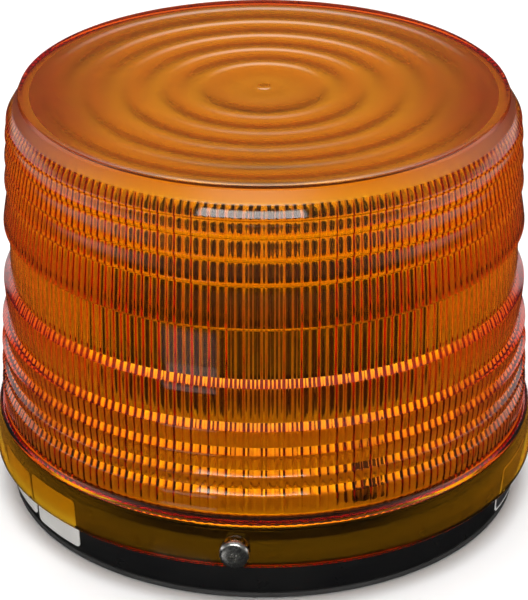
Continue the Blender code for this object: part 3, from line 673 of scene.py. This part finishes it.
def sticker_mesh(name, azimuths, heights, lift=0.3, thick=0.25, corner=1.6, inset=0.0):
    """A sticker bent round the base, with rounded corners."""
    start, end = azimuths
    bottom, top = heights[0] + inset, heights[1] - inset
    arc = math.radians(end - start) * BASE_HIGH.x
    half_width, half_height = arc / 2 - inset, (top - bottom) / 2
    outline = []
    for sx, sy, first in ((1, 1, 0), (-1, 1, 90), (-1, -1, 180), (1, -1, 270)):
        for step in range(0, 91, 15):
            angle = math.radians(first + step)
            outline.append((sx * (half_width - corner) + corner * math.cos(angle),
                            sy * (half_height - corner) + corner * math.sin(angle)))
    columns = 14
    shape = bmesh.new()
    levels = [[shape.verts.new((x, y, out)) for x, y in outline] for out in (lift, lift + thick)]
    for level in levels:
        shape.faces.new(level)
    for k in range(len(outline)):
        j = (k + 1) % len(outline)
        shape.faces.new((levels[0][k], levels[0][j], levels[1][j], levels[1][k]))
    for k in range(1, columns):
        x = -half_width + 2 * half_width * k / columns
        bmesh.ops.bisect_plane(shape, geom=[*shape.verts, *shape.edges, *shape.faces],
                               plane_co=(x, 0, 0), plane_no=(1, 0, 0), dist=1e-5)
    middle_height = (bottom + top) / 2
    middle = (start + end) / 2
    for vert in shape.verts:
        x, y, out = vert.co
        height = middle_height + y
        spot = around(base_radius_at(height) + out, middle + math.degrees(x / BASE_HIGH.x), height)
        vert.co = spot * MM
    return mesh_of(name, shape)


def make_labels(silver, dark, pale):
    mesh = sticker_mesh("rating", (211.2, 226.4), (4.0, 21.4))
    piece("silver_sticker", mesh, silver, "root", ["rating_label"])
    mesh = sticker_mesh("date", (196.0, 210.2), (5.0, 20.6))
    piece("side_sticker", mesh, silver, "root", ["date_label"])
    place = ((332.4, 348.0), (3.6, 20.0))
    mesh = sticker_mesh("hazard", *place, lift=0.3, thick=0.12)
    piece("dark_sticker_border", mesh, pale, "root", ["hazard_label"])
    mesh = sticker_mesh("hazard_face", *place, lift=0.44, thick=0.1, corner=1.2, inset=0.8)
    piece("dark_sticker", mesh, dark, "root", ["hazard_label"])


# ---- lamp


def make_deck(look):
    """The bright ring-shaped deck, with its holes for drivers and screws."""
    bottom, top, inner, outer = DECK_LOW.z, DECK_HIGH.z, 24.0, DECK_HIGH.x
    outline = rounded([(inner, bottom), (outer, bottom), (outer, top), (inner, top)], 0.3, 3)
    holes = []
    for radius, circle, azimuths in ((DRIVER_HOLE, FIXING_CIRCLE, MOUNTING_AZIMUTHS),
                                     (DECK_SCREW_HOLE, FIXING_CIRCLE, STANDOFF_AZIMUTHS),
                                     (PEDESTAL_SCREW_HOLES[0], *PEDESTAL_SCREWS)):
        holes += [(pillar("hole", radius, bottom - 5, top + 5), around(circle, a), 0) for a in azimuths]
    mesh = combined(turned("deck", outline, ROUND), holes, "DIFFERENCE")
    piece("bright_deck", mesh, look, "root", ["reflector_deck"])


def make_pedestal(look):
    """The pale pedestal: a flange, a body and a plate with a wide mouth."""
    low, top = PEDESTAL_LOW.z, PEDESTAL_HIGH.z
    flange, body, bore, mouth, plate = low + 2.0, 29.0, 26.4, 14.0, top - 2.2
    outline = [(bore, low), (PEDESTAL_HIGH.x, low), (PEDESTAL_HIGH.x, flange), (body, flange)]
    outline += [(body - 0.2, top), (mouth, top), (mouth, plate), (bore, plate)]
    circle, azimuths = PEDESTAL_SCREWS
    holes = [(pillar("hole", PEDESTAL_SCREW_HOLES[1], low - 5, flange + 5), around(circle, a), 0)
             for a in azimuths]
    mesh = combined(turned("pedestal", rounded(outline, 0.9), SMOOTH), holes, "DIFFERENCE")
    piece("pale_pedestal", mesh, look, "root", ["lamp_pedestal"])


def make_socket(look):
    """The black socket: a cap with a raised middle, three pin holes and eight grip notches."""
    low, top, radius = SOCKET_LOW.z, SOCKET_HIGH.z, SOCKET_HIGH.x
    outline = [(radius - 3.0, low), (radius - 0.4, low), (radius, low + 0.8), (radius - 0.4, top - 4.0)]
    outline += [(radius - 2.4, top - 2.0), (13.0, top - 2.0), (12.6, top), (0, top), (0, top - 7.0)]
    outline.append((radius - 3.4, top - 7.0))
    mesh = turned("socket", rounded(outline, 0.6), SMOOTH)
    mesh.transform(Matrix.Rotation(math.radians(180 / SMOOTH), 4, "Z"))
    tools = [(pillar("hole", TUBE_PIN_HOLE, top - 9, top + 2), (x, 0, 0), 0)
             for x in (-TUBE_SPREAD, TUBE_SPREAD)]
    tools.append((pillar("hole", TRIGGER_PIN_HOLE, top - 9, top + 2), (0, TRIGGER_OFFSET, 0), 0))
    for k in range(8):
        notch = pillar("notch", 1.2, low + 4.0, top - 6.0, 16)
        tools.append((notch, around(radius + 0.5, 22.5 + 45.0 * k), 0))
    piece("tube_holder", combined(mesh, tools, "DIFFERENCE"), look, "root",
          ["tube_socket"])


def swept(name, route, radius, sides=16, bore=0.0):
    """A rod along a route of points in millimetres, or a tube with a bore."""
    shape = bmesh.new()
    points = [Vector(point) for point in route]
    side = (points[1] - points[0]).orthogonal()
    stations = []
    for before, point, after in zip([points[0], *points], points, [*points[1:], points[-1]]):
        ahead = (after - before).normalized()
        side = (side - ahead * side.dot(ahead)).normalized()
        stations.append((point, side, ahead.cross(side)))

    def loops(reach):
        turns = [2 * math.pi * k / sides for k in range(sides)]
        return [[shape.verts.new((point + (across * math.cos(t) + up * math.sin(t)) * reach) * MM)
                 for t in turns] for point, across, up in stations]

    rows = loops(radius)
    if bore:
        rows += reversed(loops(bore))
        rows.append(rows[0])
    else:
        shape.faces.new(rows[0])
        shape.faces.new(rows[-1])
    for first, second in zip(rows, rows[1:]):
        bridge(shape, first, second)
    return mesh_of(name, shape, sharp=50.0)


def make_flash_tube(glass, tungsten):
    """A U of quartz tube with an electrode in each leg."""
    radius = TUBE_RADIUS
    bend = TUBE_HIGH.z - radius - TUBE_SPREAD
    leg = [TUBE_LOW.z + (bend - TUBE_LOW.z) * k / 8 for k in range(9)]
    route = [(TUBE_SPREAD, 0, z) for z in leg]
    for k in range(1, 24):
        angle = math.pi * k / 24
        route.append((TUBE_SPREAD * math.cos(angle), 0, bend + TUBE_SPREAD * math.sin(angle)))
    route += [(-TUBE_SPREAD, 0, z) for z in reversed(leg)]
    mesh = swept("flash_tube", route, radius, 32, radius - 0.9)
    piece("quartz_tube", mesh, glass, "root", ["flash_tube"])
    low = TUBE_LOW.z
    outline = [(0, low + 0.1), (2.2, low + 0.1), (2.2, low + 1.6), (0.7, low + 2.4), (0.7, low + 7.0)]
    outline += [(1.4, low + 7.4), (1.4, low + 10.0), (0.9, low + 10.6), (0, low + 10.6)]
    for name, side in (("anode", 1), ("cathode", -1)):
        mesh = turned("electrode", rounded(outline, 0.25, 3), SMALL)
        piece(f"{name}_electrode", mesh, tungsten, "root", ["flash_tube"],
              (side * TUBE_SPREAD, 0, 0))


def make_pins(look):
    """The socket's pins, each with a rounded tip and a collar where it is soldered."""
    for name, at in (("anode_pin", (TUBE_SPREAD, 0, 0)), ("cathode_pin", (-TUBE_SPREAD, 0, 0)),
                     ("trigger_pin", (0, TRIGGER_OFFSET, 0))):
        low, high = span(name)
        radius = (high.x - low.x) / 2
        outline = [(0, low.z), (radius * 0.7, low.z), (radius * 0.7, low.z + 3.0), (radius, low.z + 3.4)]
        outline += [(radius, high.z - 0.5), (radius * 0.6, high.z), (0, high.z)]
        mesh = turned("pin", rounded(outline, 0.3, 3), SMALL)
        piece(f"plated_{name}", mesh, look, "root", [name], at)


def make_trigger_wire(look):
    """Bare wire from the trigger pin, wound round the left leg of the tube."""
    turns, steps, pitch, wire = 4, 24, 2.8, 0.3
    reach, start = TUBE_RADIUS + 2 * wire, SOCKET_HIGH.z + 2.6
    coil = []
    for k in range(turns * steps + 1):
        angle = math.pi / 2 + 2 * math.pi * k / steps
        x, y = reach * math.cos(angle) - TUBE_SPREAD, reach * math.sin(angle)
        coil.append((x, y, start + pitch * k / steps))
    pin = Vector((-TRIGGER_PIN_RADIUS - wire, TRIGGER_OFFSET, start))
    middle = (pin + Vector(coil[0])) / 2 + Vector((0, 0.6, 0))
    piece("trigger_winding", swept("trigger_wire", [pin, middle, *coil], wire, 10), look, "root",
          ["trigger_wire"])


def make_small_screws(look):
    seat = DECK_HIGH.z + 0.3
    for number, azimuth in enumerate(STANDOFF_AZIMUTHS, 1):
        name, at = f"deck_screw_{number}", around(FIXING_CIRCLE, azimuth, seat)
        mesh = screw_mesh(head=3.0, thick=2.0, shank=1.25, length=8.0, turn=15.0)
        piece(f"cross_{name}", mesh, look, "root", [name], at)
    circle, azimuths = PEDESTAL_SCREWS
    for number, azimuth in enumerate(azimuths, 1):
        name, at = f"pedestal_screw_{number}", around(circle, azimuth, PEDESTAL_LOW.z + 2.3)
        mesh = screw_mesh(head=2.0, thick=1.5, shank=1.1, length=6.0, turn=40.0)
        piece(f"cross_{name}", mesh, look, "root", [name], at)


def make_grommet(look):
    low, high, lip = GROMMET_LOW.z, GROMMET_HIGH.z, GROMMET_HIGH.x
    neck, hole, thick = lip - 2.2, 4.0, 1.5
    outline = [(hole, low), (lip, low), (lip, GASKET_HIGH.z), (neck, GASKET_HIGH.z)]
    outline += [(neck, high - thick), (lip, high - thick), (lip, high), (hole, high)]
    mesh = turned("grommet", rounded(outline, 0.6), SMOOTH)
    piece("lead_grommet", mesh, look, "root", ["wire_grommet"])


def make_sleeves(look):
    """Flanged sleeves that carry the fixing screws through the base."""
    for number, azimuth in enumerate(MOUNTING_AZIMUTHS, 1):
        name = f"mounting_sleeve_{number}"
        low, high = span(name)
        bore, barrel, rim, flange = 2.7, 3.4, 5.8, high.z - 1.0
        outline = [(bore, low.z), (barrel, low.z), (barrel, flange), (rim, flange)]
        outline += [(rim, high.z), (bore, high.z)]
        mesh = turned("sleeve", rounded(outline, 0.25, 3), SMALL)
        at = around(FIXING_CIRCLE, azimuth)
        piece(f"steel_sleeve_{number}", mesh, look, "root", [name], at)


# ---- surroundings


def make_surroundings():
    """A pale studio: a bright backdrop low behind, a front softbox, a low card and a dim ceiling."""
    world = bpy.data.worlds.new("studio")
    scene.world = world
    world.use_nodes = True
    tree = world.node_tree
    direction = tree.nodes.new("ShaderNodeTexCoord").outputs["Generated"]
    split = tree.nodes.new("ShaderNodeSeparateXYZ")
    tree.links.new(direction, split.inputs["Vector"])
    x, y, z = split.outputs
    azimuth = calculate(tree, "ARCTAN2", y, x)  # in radians

    def glow(strength, ranges):
        """This strength inside every (value, low, high, softness) range, and nothing outside."""
        shade = 1.0
        for value, low, high, soft in ranges:
            shade = calculate(tree, "MULTIPLY", soft_edge(tree, value, low, soft), shade)
            shade = calculate(tree, "MULTIPLY", soft_edge(tree, value, high, soft, False), shade)
        return calculate(tree, "MULTIPLY", shade, strength)

    terms = [
        glow(0.95, [(z, -0.06, 0.23, 0.07), (y, -0.5, 2.0, 0.35)]),  # backdrop
        glow(0.08, [(z, -0.1, 2.0, 0.1)]),  # room
        glow(0.3, [(z, 0.80, 2.0, 0.06)]),  # overhead
        glow(6.0, [(z, 0.41, 0.64, 0.02), (azimuth, -2.094, -1.239, 0.03)]),  # front softbox
        glow(0.8, [(z, -0.58, -0.49, 0.015), (azimuth, -2.36, -1.94, 0.02)]),  # low card on the left
        glow(0.4, [(z, -0.485, -0.40, 0.03), (azimuth, -2.36, -1.94, 0.06)]),  # its dimmer upper edge
    ]
    total = 0.02  # everywhere else
    for term in terms:
        total = calculate(tree, "ADD", term, total)
    background = tree.nodes["Background"]
    tree.links.new(total, background.inputs["Strength"])
    background.inputs["Color"].default_value = (1.0, 0.99, 0.97, 1.0)


def make_overhead_light():
    """A large soft lamp overhead, which shows in no reflection."""
    lamp = bpy.data.lights.new("overhead", "AREA")
    lamp.shape, lamp.size, lamp.energy = "SQUARE", 1.5, 35.0
    light = bpy.data.objects.new("overhead", lamp)
    light.location.z = 1.6
    light.visible_glossy = False
    scene.collection.objects.link(light)


def make_floor():
    size = 3.0
    mesh = bpy.data.meshes.new("floor")
    corners = [(-size, -size, 0), (size, -size, 0), (size, size, 0), (-size, size, 0)]
    mesh.from_pydata(corners, [], [(0, 1, 2, 3)])
    look = Look("floor_paper", (0.9, 0.9, 0.9), 0.9)
    look.vary_roughness(look.noise(20, 3), 0.85, 0.95)
    mesh.materials.append(look.material)
    floor = bpy.data.objects.new("floor", mesh)
    floor.location.z = -0.0005
    floor.visible_glossy = False
    scene.collection.objects.link(floor)


def make_camera():
    aim_height, distance, pitch = 0.0590, 0.8418, math.radians(26.81)  # fitted to the photo's outlines
    camera = bpy.data.objects.new("camera", bpy.data.cameras.new("camera"))
    camera.location = (0, -distance * math.cos(pitch), aim_height + distance * math.sin(pitch))
    camera.rotation_euler = (math.pi / 2 - pitch, 0, 0)
    camera.data.lens = 159.9
    camera.data.clip_end = 20.0
    scene.collection.objects.link(camera)
    scene.camera = camera


def paint(look, *names):
    """Gives carried-over CAD nodes a detailed material."""
    for name in names:
        mesh = nodes[name].data
        mesh.materials.clear()
        mesh.materials.append(look)


def paint_inside(nickel, zinc):
    """Materials for the power supply and the other pieces that keep their CAD shape."""
    brass = metal("turned_brass", (0.62, 0.44, 0.18), (0.76, 0.58, 0.28), 0.3, (1.0, 1.0, 6.0))
    paint(brass, *[f"threaded_insert_{number}" for number in (1, 2, 3)])
    paint(metal("standoff_alloy", (0.60, 0.60, 0.58), (0.72, 0.72, 0.70), 0.4, (1.0, 1.0, 5.0)),
          *[f"deck_standoff_{number}" for number in (1, 2, 3)])
    paint(zinc, *[f"board_screw_{number}" for number in (1, 2, 3, 4)])
    paint(nickel, "fuse_clip_1", "fuse_clip_2")
    paint(moulded("solder_mask", (0.010, 0.075, 0.025), (0.025, 0.12, 0.045), 0.35, 0.015),
          "circuit_board")
    paint(moulded("ferrite", (0.035, 0.032, 0.032), (0.075, 0.068, 0.066), 0.7, 0.08),
          "transformer_core")
    turns = (1.0, 1.0, 14.0)
    paint(metal("enamelled_copper", (0.50, 0.16, 0.05), (0.68, 0.27, 0.11), 0.32, turns, 0.08),
          "transformer_winding")
    paint(moulded("shrink_sleeve", (0.012, 0.012, 0.045), (0.025, 0.025, 0.075), 0.28, 0.01),
          "storage_capacitor", "input_capacitor")
    paint(moulded("dipped_case", (0.36, 0.05, 0.02), (0.50, 0.10, 0.04), 0.3, 0.05), "trigger_capacitor")
    paint(moulded("epoxy", (0.018, 0.018, 0.019), (0.035, 0.035, 0.035), 0.48), "switching_transistor",
          "timing_chip", "rectifier_diode", "trigger_coil")
    paint(metal("anodised_alloy", (0.035, 0.035, 0.037), (0.07, 0.07, 0.072), 0.42, (1.0, 1.0, 0.15)),
          "heat_sink")
    paint(moulded("lacquer", (0.42, 0.31, 0.17), (0.58, 0.45, 0.28), 0.55, 0.04), "power_resistor_1",
          "power_resistor_2")
    paint(metal("fuse_ends", (0.62, 0.61, 0.58), (0.74, 0.73, 0.70), 0.28), "fuse")
    paint(moulded("terminal_plastic", (0.015, 0.16, 0.05), (0.03, 0.23, 0.08), 0.42), "terminal_block")
    paint(rubber("red_lead", (0.35, 0.02, 0.01), (0.46, 0.04, 0.02)), "anode_lead")
    paint(rubber("black_lead", (0.015, 0.015, 0.015), (0.03, 0.03, 0.03)), "cathode_lead")
    paint(rubber("white_lead", (0.66, 0.66, 0.62), (0.78, 0.78, 0.75)), "trigger_lead")


def main():
    scene.view_settings.view_transform = "Standard"
    black = moulded("black_base_plastic", (0.006, 0.006, 0.007), (0.011, 0.011, 0.011), 0.32, gloss=0.2)
    rubber_look = rubber("gasket_rubber", (0.03, 0.03, 0.03), (0.055, 0.055, 0.055))
    steel = metal("screw_steel", (0.60, 0.60, 0.58), (0.72, 0.71, 0.68), 0.25)
    silver = paper("silver_sticker", (0.60, 0.60, 0.58), (0.68, 0.68, 0.66), 0.42)
    dark = paper("dark_sticker", (0.03, 0.03, 0.035), (0.05, 0.05, 0.05), 0.4)
    pale = paper("pale_border", (0.75, 0.75, 0.74), (0.82, 0.82, 0.80), 0.45)
    make_dome(amber_plastic())
    make_lens_screws(steel)
    make_base(black)
    make_gaskets(rubber_look)
    make_labels(silver, dark, pale)
    make_deck(deck_finish())
    make_pedestal(moulded("pale_plastic", (0.72, 0.72, 0.69), (0.80, 0.80, 0.77), 0.45))
    make_socket(moulded("black_phenolic", (0.012, 0.009, 0.008), (0.024, 0.018, 0.016), 0.5))
    nickel = metal("nickel_plate", (0.55, 0.53, 0.48), (0.68, 0.66, 0.60), 0.28)
    make_flash_tube(clear_glass(), metal("tungsten", (0.30, 0.30, 0.30), (0.42, 0.42, 0.41), 0.4))
    make_pins(nickel)
    make_trigger_wire(nickel)
    zinc = metal("zinc_plate", (0.50, 0.50, 0.47), (0.64, 0.63, 0.58), 0.35)
    make_small_screws(zinc)
    make_grommet(rubber_look)
    make_sleeves(zinc)
    paint_inside(nickel, zinc)
    make_surroundings()
    make_overhead_light()
    make_floor()
    make_camera()


main()
